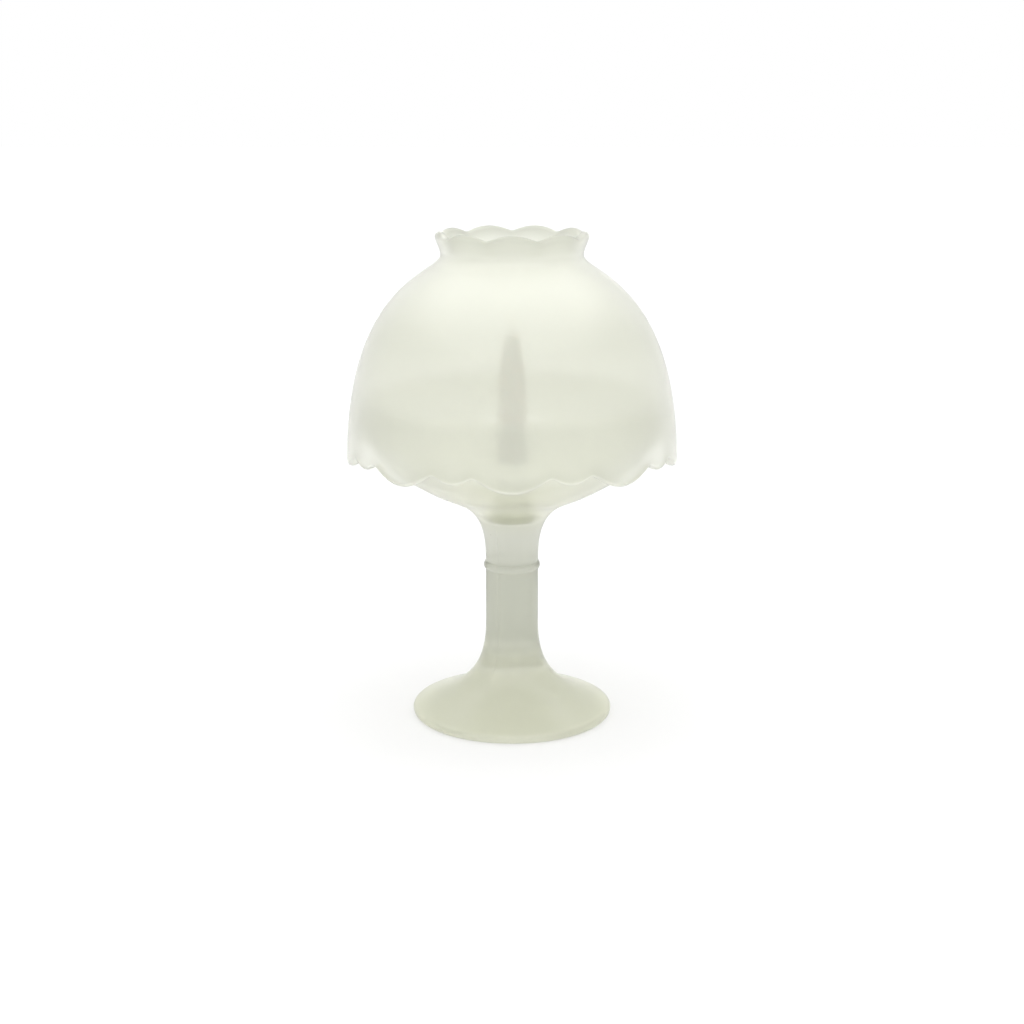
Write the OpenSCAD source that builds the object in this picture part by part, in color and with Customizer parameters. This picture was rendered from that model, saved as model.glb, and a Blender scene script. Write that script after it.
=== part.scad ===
// Fairy lamp of satin pressed glass, in millimetres, standing on z = 0 with its front at -Y.
// A goblet carries everything: its bowl holds a small candle cup with a slim taper candle,
// and the inside of the domed shade rests on the bowl's rim. The shade and the cup lift off.

/* [Foot and stem] */
// Diameter of the foot
foot_d = 64.4; // [56:0.2:74]
// Thickness of the foot at its round edge
foot_edge_h = 3; // [2:0.1:4]
// Width of the ground ring that the foot stands on
foot_ring_w = 5; // [3:0.5:8]
// Depth of the shallow dish under the foot
foot_dish_h = 1.6; // [0.5:0.1:2.4]
// Climb of the foot's top at its edge, in degrees
foot_climb = 20; // [12:1:28]
// Fullness of the foot's top, as a share of its width
foot_fullness = 0.59; // [0.4:0.01:0.7]
// Height at which the foot has narrowed to the stem
foot_h = 30; // [24:1:40]
// Sharpness of the turn from foot to stem
foot_turn = 0.67; // [0.4:0.01:0.8]
// Diameter of the stem
stem_d = 16.8; // [13:0.2:20]
// Length of the straight stem
stem_l = 22; // [12:1:40]
// Height of the moulded bead on the stem
bead_h = 2.4; // [1.5:0.1:4]
// How far the bead stands out of the stem
bead_proud = 0.6; // [0.3:0.05:1]
// Drop of the bead's middle below the top of the straight stem
bead_drop = 2.5; // [2:0.1:8]

/* [Bowl] */
// Height of the bowl from the top of the stem to the rim
bowl_h = 52; // [44:1:62]
// Diameter at which the bowl's underside turns up into its side
bowl_turn_d = 56; // [48:1:64]
// Height of that turn above the top of the stem
bowl_turn_h = 23.3; // [20:0.1:28]
// Slope of the bowl's underside at that turn, in degrees
bowl_turn_slope = 30; // [22:1:38]
// Fullness of the underside where it meets the turn
under_fullness = 0.62; // [0.45:0.01:0.75]
// Sharpness of the turn from stem to underside
under_turn = 0.79; // [0.6:0.01:0.85]
// Fullness of the bowl's side above the turn
side_fullness = 0.74; // [0.5:0.01:0.85]
// Share of the side's height at which it is almost upright
side_upright = 0.42; // [0.3:0.01:0.6]
// Glass thickness of the bowl
bowl_wall = 3; // [2:0.1:4]
// Height of the floor inside the bowl above the top of the stem
bowl_floor_h = 12.4; // [11:0.1:16]

/* [Shade] */
// Diameter of the shade at its skirt
shade_d = 104.2; // [94:0.2:120]
// Glass thickness of the shade
shade_wall = 3; // [2:0.1:4]
// Drop of the skirt's lowest points below the bowl's rim
skirt_drop = 20.2; // [14:0.2:26]
// Rise of the shade's neck above the bowl's rim
dome_h = 44.2; // [36:0.2:54]
// Fullness of the dome, as a share of its height
dome_fullness = 0.885; // [0.75:0.005:0.91]
// Height of the tight curve from dome to neck
neck_curve_h = 6; // [3:0.5:10]
// Diameter of the shade's neck
neck_d = 44.2; // [36:0.2:54]
// Height of the collar from the neck to the tops of its scallops
collar_h = 7.2; // [5:0.1:11]
// How far the collar flares out from the neck
collar_flare = 2.3; // [1:0.1:4]

/* [Scallops] */
// Number of repeats round the skirt, each one large lobe and one small lobe
skirt_repeats = 9; // [7:1:11]
// Share of a repeat that its large lobe takes
large_share = 0.65; // [0.5:0.01:0.72]
// Depth of the large lobes below the notches
large_drop = 4.3; // [3:0.1:6]
// Depth of the small lobes below the notches
small_drop = 2.1; // [1.2:0.1:2.8]
// Width of the notches between lobes
notch_w = 2.4; // [1.6:0.1:3]
// How far a notch is rounded up into the skirt
notch_round_h = 0.6; // [0.4:0.05:1]
// Number of scallops round the collar's lip
lip_scallops = 9; // [7:1:12]
// Height of the scallops on the collar's lip
lip_scallop_h = 1.6; // [0.8:0.1:2.4]
// Width of the flat valleys between the lip's scallops
lip_valley_w = 2.4; // [1.6:0.1:3]

/* [Candle cup and candle] */
// Height of the candle cup
cup_h = 29.5; // [24:0.5:36]
// Height of the cup's foot
cup_foot_h = 2.4; // [1.6:0.1:4]
// Diameter of the cup's waist
cup_waist_d = 8.4; // [6.4:0.2:10]
// Depth of the cup's socket
socket_h = 12; // [9:0.5:16]
// Glass thickness round and under the socket
socket_wall = 1.6; // [1.2:0.1:2.4]
// How far the socket's lip flares out
socket_lip = 0.9; // [0.5:0.1:1.6]
// Height of the socket's flared lip
socket_lip_h = 2.7; // [2:0.1:4]
// Diameter of the candle
candle_d = 9; // [7:0.2:12]
// Length of the candle
candle_l = 42; // [34:1:60]
// Length of the candle's tapered tip
candle_taper_l = 24; // [14:1:30]
// Diameter of the candle's top
candle_top_d = 3.4; // [2.8:0.1:5]
// Diameter of the wick
wick_d = 1.5; // [1:0.1:2]
// Length of wick above the candle
wick_free_l = 6; // [3:0.5:10]

/* [Fits] */
// Gap between the shade's inside and the bowl's rim
seat_gap = 0.3; // [0.15:0.05:0.6]
// Gap round the cup's foot in the bowl and round the candle in its socket
drop_in_gap = 0.3; // [0.15:0.05:0.6]
// Gap under a piece that stands on a flat floor
rest_gap = 0.1; // [0.05:0.05:0.3]
// Gap round the wick inside the candle
wick_gap = 0.05; // [0.02:0.01:0.1]

/* [Hidden] */
$fn = 96;

satin_glass = [0.90, 0.91, 0.85];
ivory_wax = [0.91, 0.88, 0.79];
cotton = [0.93, 0.91, 0.86];

// Points along a long curve, and along a short one
long_steps = 22;
short_steps = 9;
// Length by which a cutting shape runs past what it cuts
overrun = 2;
// Length of a lobe's root inside the wall that it grows from
lobe_root = 0.5;
// Shares of the collar that shape its curve: its upright start, and where and how far it has opened
collar_upright = 0.33;
collar_open_h = 0.5;
collar_open = 0.75;
// Shares of the candle's taper that shape its curve: how far it stays full, and its blunt tip
taper_fullness = 0.5;
tip_h = 0.125;
tip_w = 0.5;

foot_r = foot_d / 2;
stem_r = stem_d / 2;
shade_r = shade_d / 2;
neck_r = neck_d / 2;
lip_r = neck_r + collar_flare;
candle_r = candle_d / 2;
candle_top_r = candle_top_d / 2;
wick_r = wick_d / 2;
wick_hole_r = wick_r + wick_gap;

// Heights, from the floor up
bowl_z = foot_h + stem_l;
bead_z = bowl_z - bead_drop;
floor_z = bowl_z + bowl_floor_h;
rim_z = bowl_z + bowl_h;
rim_middle_z = rim_z - bowl_wall / 2;
skirt_z = rim_z - skirt_drop;
notch_z = skirt_z + large_drop;
neck_z = rim_z + dome_h;
top_z = neck_z + collar_h;
valley_z = top_z - lip_scallop_h;
cup_z = floor_z + rest_gap;
cup_rim_z = cup_z + cup_h;
socket_z = cup_rim_z - socket_h;
candle_z = socket_z + rest_gap;
candle_top_z = candle_z + candle_l;

// Cubic curve from a to d that leaves towards b and arrives from c
function curve(a, b, c, d, steps) = [
    for (i = [0:steps])
        let (t = i / steps, u = 1 - t)
            u * u * u * a + 3 * u * u * t * b + 3 * u * t * t * c + t * t * t * d
];

// Circular arc about a centre
function arc(centre, r, from, to, steps) = [
    for (i = [0:steps])
        let (a = from + (to - from) * i / steps)
            centre + r * [cos(a), sin(a)]
];

// Radius of the circle that rises by sag over a chord of the given half width
function chord_r(half_w, sag) = (half_w * half_w + sag * sag) / (2 * sag);

function direction(angle) = [cos(angle), sin(angle)];

function run_at(path, i) = path[min(i + 1, len(path) - 1)] - path[max(i - 1, 0)];

// A path moved sideways towards the lamp's axis, for a path that climbs
function inward(path, wall) = [
    for (i = [0:len(path) - 1])
        let (run = run_at(path, i) / norm(run_at(path, i)))
            path[i] + wall * [-run[1], run[0]]
];

function turned_round(path) = [for (i = [len(path) - 1:-1:0]) path[i]];

// Radius of a climbing path at a height
function radius_at(path, z) = lookup(z, [for (p = path) [p[1], p[0]]]);

// Outside of the shade: skirt and dome in one sweep, then the flared collar. Both ends run past
// the edges, which the scallops cut
dome_path = curve(
    [shade_r, skirt_z - overrun],
    [shade_r, skirt_z + dome_fullness * (neck_z - skirt_z)],
    [neck_r, neck_z - neck_curve_h],
    [neck_r, neck_z],
    long_steps
);
collar_path = curve(
    [neck_r, neck_z],
    [neck_r, neck_z + collar_upright * collar_h],
    [neck_r + collar_open * collar_flare, neck_z + collar_open_h * collar_h],
    [lip_r, top_z + overrun],
    short_steps
);
shade_outside = concat(dome_path, [for (i = [1:short_steps]) collar_path[i]]);
shade_inside = inward(shade_outside, shade_wall);

// The bowl's rim fits the inside of the shade at the height where the shade rests
rim_r = radius_at(shade_inside, rim_middle_z) - seat_gap;

// Outside of the bowl, from the stem up to the rim
turn = [bowl_turn_d / 2, bowl_z + bowl_turn_h];
turn_run = direction(bowl_turn_slope);
under_path = curve(
    [stem_r, bowl_z],
    [stem_r, bowl_z + under_turn * bowl_turn_h],
    turn - under_fullness * (turn[0] - stem_r) * turn_run,
    turn,
    long_steps
);
side_path = curve(
    turn,
    turn + side_fullness * (rim_r - turn[0]) * turn_run,
    [rim_r, turn[1] + side_upright * (rim_middle_z - turn[1])],
    [rim_r, rim_middle_z],
    long_steps
);
bowl_outside = concat(under_path, [for (i = [1:long_steps]) side_path[i]]);
bowl_wall_path = inward(bowl_outside, bowl_wall);
floor_r = radius_at(bowl_wall_path, floor_z);
bowl_inside = concat([[floor_r, floor_z]], [for (p = bowl_wall_path) if (p[1] > floor_z) p]);

// Foot: a dish underneath, a round edge, and a top that sweeps up into the stem
edge_r = foot_edge_h / 2;
edge_centre = [foot_r - edge_r, edge_r];
dish_r = foot_r - edge_r - foot_ring_w;
dish_path = [
    for (i = [0:short_steps])
        let (s = i / short_steps)
            [dish_r * s, foot_dish_h * (1 - s * s)]
];
edge_path = arc(edge_centre, edge_r, -90, 90 - foot_climb, short_steps);
edge_top = edge_path[short_steps];
foot_path = curve(
    edge_top,
    edge_top + foot_fullness * (foot_r - stem_r) * direction(180 - foot_climb),
    [stem_r, foot_h - foot_turn * (foot_h - foot_edge_h)],
    [stem_r, foot_h],
    long_steps
);

// Bead: a low arc that stands out of the stem
bead_r = chord_r(bead_h / 2, bead_proud);
bead_half_angle = asin(bead_h / 2 / bead_r);
bead_path = arc(
    [stem_r + bead_proud - bead_r, bead_z],
    bead_r,
    -bead_half_angle,
    bead_half_angle,
    short_steps
);

rim_path = arc([rim_r - bowl_wall / 2, rim_middle_z], bowl_wall / 2, 0, 180, short_steps);

// Candle cup: its foot stands in the well of the bowl, its socket takes the candle
cup_foot_r = floor_r - drop_in_gap;
socket_r = candle_r + drop_in_gap;
socket_out_r = socket_r + socket_wall;
cup_neck_z = socket_z - socket_wall;
// Both inner points of the waist's curve have the radius that puts its middle at the waist
cup_waist_pull = (8 * cup_waist_d / 2 - cup_foot_r - socket_out_r) / 6;
cup_waist_h = (cup_neck_z - cup_z - cup_foot_h) / 3;
cup_path = curve(
    [cup_foot_r, cup_z + cup_foot_h],
    [cup_waist_pull, cup_z + cup_foot_h + cup_waist_h],
    [cup_waist_pull, cup_neck_z - cup_waist_h],
    [socket_out_r, cup_neck_z],
    long_steps
);
socket_lip_path = curve(
    [socket_out_r, cup_rim_z - socket_lip_h],
    [socket_out_r, cup_rim_z - socket_lip],
    [socket_out_r + socket_lip, cup_rim_z - socket_lip],
    [socket_out_r + socket_lip, cup_rim_z],
    short_steps
);

candle_path = curve(
    [candle_r, candle_top_z - candle_taper_l],
    [candle_r, candle_top_z - (1 - taper_fullness) * candle_taper_l],
    [candle_top_r + tip_w * (candle_r - candle_top_r), candle_top_z - tip_h * candle_taper_l],
    [candle_top_r, candle_top_z],
    long_steps
);

// Angles of the skirt's lobes and notches within one repeat
repeat_angle = 360 / skirt_repeats;
large_half_angle = repeat_angle * large_share / 2;
small_half_angle = repeat_angle * (1 - large_share) / 2;
large_half_w = shade_r * sin(large_half_angle) - notch_w / 2;
small_half_w = shade_r * sin(small_half_angle) - notch_w / 2;
lip_half_w = lip_r * sin(180 / lip_scallops) - lip_valley_w / 2;

// Runs a flat shape, drawn with x along the edge and y up, out through the shade's wall
// at an angle from the front
module through_wall(angle, wall_r)
    rotate([90, 0, angle])
        translate([0, 0, wall_r - shade_wall - overrun])
            linear_extrude(shade_wall + 2 * overrun) children();

// One hanging lobe: the end of a circle that reaches down from y = 0, where it is 2 half_w wide
module lobe(half_w, reach) {
    r = chord_r(half_w, reach);
    intersection() {
        translate([0, r - reach]) circle(r);
        translate([-r, -r]) square([2 * r, r + lobe_root]);
    }
}

module goblet()
    color(satin_glass)
        rotate_extrude()
            polygon(concat(
                dish_path,
                edge_path,
                [for (i = [1:long_steps]) foot_path[i]],
                bead_path,
                bowl_outside,
                [for (i = [1:short_steps - 1]) rim_path[i]],
                turned_round(bowl_inside),
                [[0, floor_z]]
            ));

module shade_shell()
    rotate_extrude()
        polygon(concat(shade_outside, turned_round(shade_inside)));

// Everything that the scalloped edges leave standing
module shade_outline() {
    translate([0, 0, notch_z])
        cylinder(r = shade_r + overrun, h = valley_z - notch_z);
    for (i = [0:skirt_repeats - 1]) {
        through_wall(i * repeat_angle, shade_r)
            translate([0, notch_z]) lobe(large_half_w, large_drop);
        through_wall((i + 0.5) * repeat_angle, shade_r)
            translate([0, notch_z]) lobe(small_half_w, small_drop);
    }
    for (i = [0:lip_scallops - 1])
        through_wall(i * 360 / lip_scallops, lip_r)
            translate([0, valley_z]) mirror([0, 1]) lobe(lip_half_w, lip_scallop_h);
}

// Rounds the top of each notch between a large lobe and a small one
module notch_rounds() {
    r = chord_r((notch_w + notch_round_h) / 2, notch_round_h);
    for (i = [0:skirt_repeats - 1], side = [-1, 1])
        through_wall(i * repeat_angle + side * large_half_angle, shade_r)
            translate([0, notch_z + notch_round_h - r]) circle(r);
}

module shade()
    color(satin_glass)
        difference() {
            intersection() {
                shade_shell();
                shade_outline();
            }
            notch_rounds();
        }

module candle_cup()
    color(satin_glass)
        rotate_extrude()
            polygon(concat(
                [[0, cup_z], [cup_foot_r, cup_z]],
                cup_path,
                socket_lip_path,
                [[socket_r, cup_rim_z], [socket_r, socket_z], [0, socket_z]]
            ));

module candle()
    color(ivory_wax)
        rotate_extrude()
            polygon(concat(
                [[wick_hole_r, candle_z], [candle_r, candle_z]],
                candle_path,
                [[wick_hole_r, candle_top_z]]
            ));

module wick()
    color(cotton)
        translate([0, 0, candle_z])
            cylinder(r = wick_r, h = candle_l + wick_free_l);

goblet();
shade();
candle_cup();
candle();
wick();
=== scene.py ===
"""Looks of a fairy lamp in satin pressed glass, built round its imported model.

A goblet carries a domed shade with scalloped edges and, inside, a candle cup with a slim taper
candle and its braided wick. Sizes are in millimetres, angles in degrees and meshes in metres.
"""

import logging
import math
from dataclasses import dataclass
from enum import Enum

import bmesh
import bpy
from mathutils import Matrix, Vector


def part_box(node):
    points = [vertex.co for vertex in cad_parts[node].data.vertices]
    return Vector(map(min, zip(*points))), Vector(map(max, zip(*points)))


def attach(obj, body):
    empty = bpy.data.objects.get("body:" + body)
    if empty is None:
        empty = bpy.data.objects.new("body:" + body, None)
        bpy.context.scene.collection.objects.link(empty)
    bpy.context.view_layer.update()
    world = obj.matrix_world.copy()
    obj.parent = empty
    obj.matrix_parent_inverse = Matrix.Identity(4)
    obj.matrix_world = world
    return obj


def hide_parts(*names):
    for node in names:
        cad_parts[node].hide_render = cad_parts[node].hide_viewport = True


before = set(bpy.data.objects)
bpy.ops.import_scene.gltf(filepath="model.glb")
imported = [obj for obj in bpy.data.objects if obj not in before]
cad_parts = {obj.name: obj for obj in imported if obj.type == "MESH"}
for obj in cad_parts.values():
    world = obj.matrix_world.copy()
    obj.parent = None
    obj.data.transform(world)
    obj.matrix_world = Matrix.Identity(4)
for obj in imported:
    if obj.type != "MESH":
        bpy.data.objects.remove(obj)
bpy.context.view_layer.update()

MM = 0.001
FULL_TURN = 2 * math.pi
DEGREES_ROUND = 360
WHITE = (1.0, 1.0, 1.0, 1.0)
# Radius of the small ring that a section is swept round
AXIS_RING = 1.0
# Points closer than this are joined where a section meets the axis
JOIN_DISTANCE = 0.002
# Share of a corner's legs at which a cubic curve follows a quarter circle
QUARTER_HANDLE = 0.5523
# Distance from the middle of a repeat to its end, as a share of the repeat
HALF_REPEAT = 0.5
# Values for a turned piece without seams, which keep its sums free of division by zero
NO_SEAMS = {"Seams": 1, "Seam half width": MM}
# Layers of noise in each pattern, and the middle of a noise's range
DRIFT_DETAIL = 2.0
GRAIN_DETAIL = 3.0
RIPPLE_DETAIL = 1.0
NOISE_MIDDLE = 0.5
# Share of a speck's radius that has its full colour
SPECK_CORE = 0.5
# Places of a colour mix among the sockets of its node
MIX_FACTOR = 0
MIX_FIRST = 6
MIX_SECOND = 7
MIX_RESULT = 2

Point = tuple[float, float]
Path = list[Point]
Stops = tuple[Point, ...]
Place = tuple[float, float, float]
Rgba = tuple[float, float, float, float]
Socket = bpy.types.NodeSocket
Sockets = bpy.types.bpy_prop_collection
Operand = Socket | float
Feeds = dict[str | int, object]

log = logging.getLogger("fairy_lamp")


class Body(Enum):
    """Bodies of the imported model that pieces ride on."""

    GOBLET = "goblet"
    SHADE = "shade"
    CANDLE_CUP = "candle_cup"
    CANDLE = "candle"


class Slot(Enum):
    """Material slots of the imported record."""

    SATIN_GLASS = "satin_glass"
    CUP_GLASS = "cup_glass"
    WAX = "wax"
    COTTON = "cotton"


class Mark(Enum):
    """Values that a drawn section hands on to its piece."""

    SEAM = "seam"
    # Share of the darker tint: thick glass, and also painted shade and painted shadow, and painted
    # highlight where it drops
    SOLID = "solid"
    WARM = "warm"


class Blend(Enum):
    """Ways that a second colour goes over a first."""

    COVER = "MIX"
    TINT = "MULTIPLY"


class TreeKind(Enum):
    """Kinds of node tree that the script builds."""

    GEOMETRY = "GeometryNodeTree"
    SHADER = "ShaderNodeTree"


class SocketKind(Enum):
    """Kinds of socket on a tree's own interface."""

    GEOMETRY = "NodeSocketGeometry"
    MATERIAL = "NodeSocketMaterial"
    VECTOR = "NodeSocketVector"
    FLOAT = "NodeSocketFloat"
    INT = "NodeSocketInt"


Labels = dict[SocketKind, tuple[str, ...]]
PIECE_OUT: Labels = {SocketKind.GEOMETRY: ("Piece",)}


def curve(a: Point, b: Point, c: Point, d: Point, steps: int) -> Path:
    """Sample a cubic curve that leaves towards its second point and arrives from its third.

    Args:
        a: Start of the curve.
        b: Point that the curve leaves towards.
        c: Point that the curve arrives from.
        d: End of the curve.
        steps: Number of steps along the curve.

    Returns:
        The points along the curve, with both ends.
    """
    path = []
    for i in range(steps + 1):
        t = i / steps
        u = 1 - t
        weights = (u * u * u, 3 * u * u * t, 3 * u * t * t, t * t * t)
        parts = list(zip(weights, (a, b, c, d)))
        path.append((sum(w * p[0] for w, p in parts), sum(w * p[1] for w, p in parts)))
    return path


def between(a: Point, b: Point, share: float) -> Point:
    """Return the point at a share of the way from one point to another."""
    return (a[0] + share * (b[0] - a[0]), a[1] + share * (b[1] - a[1]))


def round_corner(a: Point, corner: Point, d: Point, steps: int) -> Path:
    """Round a corner between the points on its legs where the rounding starts and ends.

    Args:
        a: Point on the first leg.
        corner: The sharp corner.
        d: Point on the second leg.
        steps: Number of steps round the corner.

    Returns:
        The points round the corner, with both ends.
    """
    leave = between(a, corner, QUARTER_HANDLE)
    arrive = between(d, corner, QUARTER_HANDLE)
    return curve(a, leave, arrive, d, steps)


def arc(centre: Point, radius: float, start: float, end: float, steps: int) -> Path:
    """Sample a circular arc.

    Args:
        centre: Centre of the circle.
        radius: Radius of the circle.
        start: Angle of the first point.
        end: Angle of the last point.
        steps: Number of steps along the arc.

    Returns:
        The points along the arc, with both ends.
    """
    path = []
    for i in range(steps + 1):
        angle = math.radians(start + (end - start) * i / steps)
        path.append((centre[0] + radius * math.cos(angle), centre[1] + radius * math.sin(angle)))
    return path


def moved_inward(path: Path, wall: float) -> Path:
    """Move a climbing path sideways towards the axis.

    Args:
        path: Path that climbs.
        wall: Distance to move it by.

    Returns:
        The moved points, one for each point of the path.
    """
    moved = []
    for i, (r, z) in enumerate(path):
        before = path[max(i - 1, 0)]
        after = path[min(i + 1, len(path) - 1)]
        run = (after[0] - before[0], after[1] - before[1])
        length = math.hypot(*run)
        moved.append((r - wall * run[1] / length, z + wall * run[0] / length))
    return moved


def place_at(path: Path, z: float) -> float:
    """Find where a climbing path reaches a height.

    Args:
        path: Path that climbs.
        z: The height.

    Returns:
        The place as an index with a fraction.
    """
    for i in range(len(path) - 1):
        low, high = path[i][1], path[i + 1][1]
        if low <= z <= high and high > low:
            return i + (z - low) / (high - low)
    return 0.0 if z < path[0][1] else len(path) - 1.0


def point_at(path: Path, place: float) -> Point:
    """Return the point of a path at an index with a fraction."""
    i = min(int(place), len(path) - 2)
    return between(path[i], path[i + 1], place - i)


def stretch(path: Path, start: float, end: float) -> Path:
    """Cut out the stretch of a path between two places, each an index with a fraction."""
    kept = [point for i, point in enumerate(path) if start < i < end]
    return [point_at(path, start)] + kept + [point_at(path, end)]


def value_at(stops: Stops, place: float) -> float:
    """Find the value at a place between stops.

    Args:
        stops: Rising places, each with its value.
        place: The place.

    Returns:
        The value, which holds beyond the first and the last stop.
    """
    for (low_place, low), (high_place, high) in zip(stops, stops[1:]):
        if place <= high_place:
            share = min(max((place - low_place) / (high_place - low_place), 0.0), 1.0)
            return low + share * (high - low)
    return stops[-1][1]


class TreeMaker:
    """Adds nodes to a node tree and links their sockets."""

    def __init__(self, tree: bpy.types.NodeTree) -> None:
        """Keep the tree that the nodes go into."""
        self.tree = tree

    def node(self, kind: str, **settings: object) -> bpy.types.Node:
        """Add a node.

        Args:
            kind: Blender's name for the kind of node.
            **settings: Values for the node's own settings.

        Returns:
            The new node.
        """
        node = self.tree.nodes.new(kind)
        for name, value in settings.items():
            setattr(node, name, value)
        return node

    def feed(self, node: bpy.types.Node, feeds: Feeds) -> None:
        """Link sockets to a node's inputs, or set plain values on them.

        Args:
            node: The node.
            feeds: Sockets or plain values, by the input's name or place.
        """
        for name, source in feeds.items():
            if isinstance(source, bpy.types.NodeSocket):
                self.tree.links.new(source, node.inputs[name])
            else:
                node.inputs[name].default_value = source

    def fed(self, kind: str, feeds: Feeds, **settings: object) -> bpy.types.Node:
        """Add a node and feed its inputs.

        Args:
            kind: Blender's name for the kind of node.
            feeds: Sockets or plain values, by the input's name or place.
            **settings: Values for the node's own settings.

        Returns:
            The new node.
        """
        node = self.node(kind, **settings)
        self.feed(node, feeds)
        return node

    def made(self, kind: str, feeds: Feeds, **settings: object) -> Socket:
        """Add a node, feed its inputs and return its first output."""
        return self.fed(kind, feeds, **settings).outputs[0]

    def math(self, operation: str, *operands: Operand) -> Socket:
        """Add a calculation on sockets or numbers and return its result."""
        return self.made("ShaderNodeMath", dict(enumerate(operands)), operation=operation)

    def share_of(self, value: Operand, start: Operand, end: Operand) -> Socket:
        """Work out how far a value lies from a start to an end.

        Args:
            value: The value.
            start: Start, where the share is 0.
            end: End, where the share is 1.

        Returns:
            The share, kept between 0 and 1.
        """
        span = self.math("SUBTRACT", end, start)
        share = self.math("DIVIDE", self.math("SUBTRACT", value, start), span)
        return self.math("MINIMUM", self.math("MAXIMUM", share, 0.0), 1.0)

    def ramp(self, mask: Socket, low: float, high: float) -> Socket:
        """Return a value that runs from low to high with a mask."""
        return self.math("MULTIPLY_ADD", mask, high - low, low)

    def group(self, tree: bpy.types.NodeTree, feeds: Feeds) -> Sockets:
        """Place another tree as a group.

        Args:
            tree: The tree to place.
            feeds: Sockets or plain values for its inputs, by name.

        Returns:
            The group's outputs.
        """
        is_geometry = self.tree.bl_idname == TreeKind.GEOMETRY.value
        kind = "GeometryNodeGroup" if is_geometry else "ShaderNodeGroup"
        return self.fed(kind, feeds, node_tree=tree).outputs

    def inputs(self) -> Sockets:
        """Return the sockets of the tree's own inputs."""
        return self.node("NodeGroupInput").outputs

    def put_out(self, sources: Feeds) -> bpy.types.NodeTree:
        """Link the tree's own outputs and return the finished tree."""
        self.fed("NodeGroupOutput", sources)
        return self.tree

    def put_out_piece(self, geometry: Socket, material: Socket) -> bpy.types.NodeTree:
        """Finish a geometry tree: smooth faces, real geometry and a material.

        Args:
            geometry: Socket of the shape.
            material: Socket of the material.

        Returns:
            The finished tree.
        """
        smooth = self.made("GeometryNodeSetShadeSmooth", {"Geometry": geometry})
        real = self.made("GeometryNodeRealizeInstances", {"Geometry": smooth})
        dressed = self.made("GeometryNodeSetMaterial", {"Geometry": real, "Material": material})
        return self.put_out({"Piece": dressed})


def start_tree(name: str, kind: TreeKind, inputs: Labels, outputs: Labels) -> TreeMaker:
    """Start a tree with named inputs and outputs.

    Args:
        name: Name of the tree.
        kind: Kind of tree.
        inputs: Names of the inputs, by kind of socket.
        outputs: Names of the outputs, by kind of socket.

    Returns:
        A maker for the new tree.
    """
    tree = bpy.data.node_groups.new(name, kind.value)
    for side, labels in (("INPUT", inputs), ("OUTPUT", outputs)):
        for socket_kind, names in labels.items():
            for label in names:
                tree.interface.new_socket(label, in_out=side, socket_type=socket_kind.value)
    return TreeMaker(tree)


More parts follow.
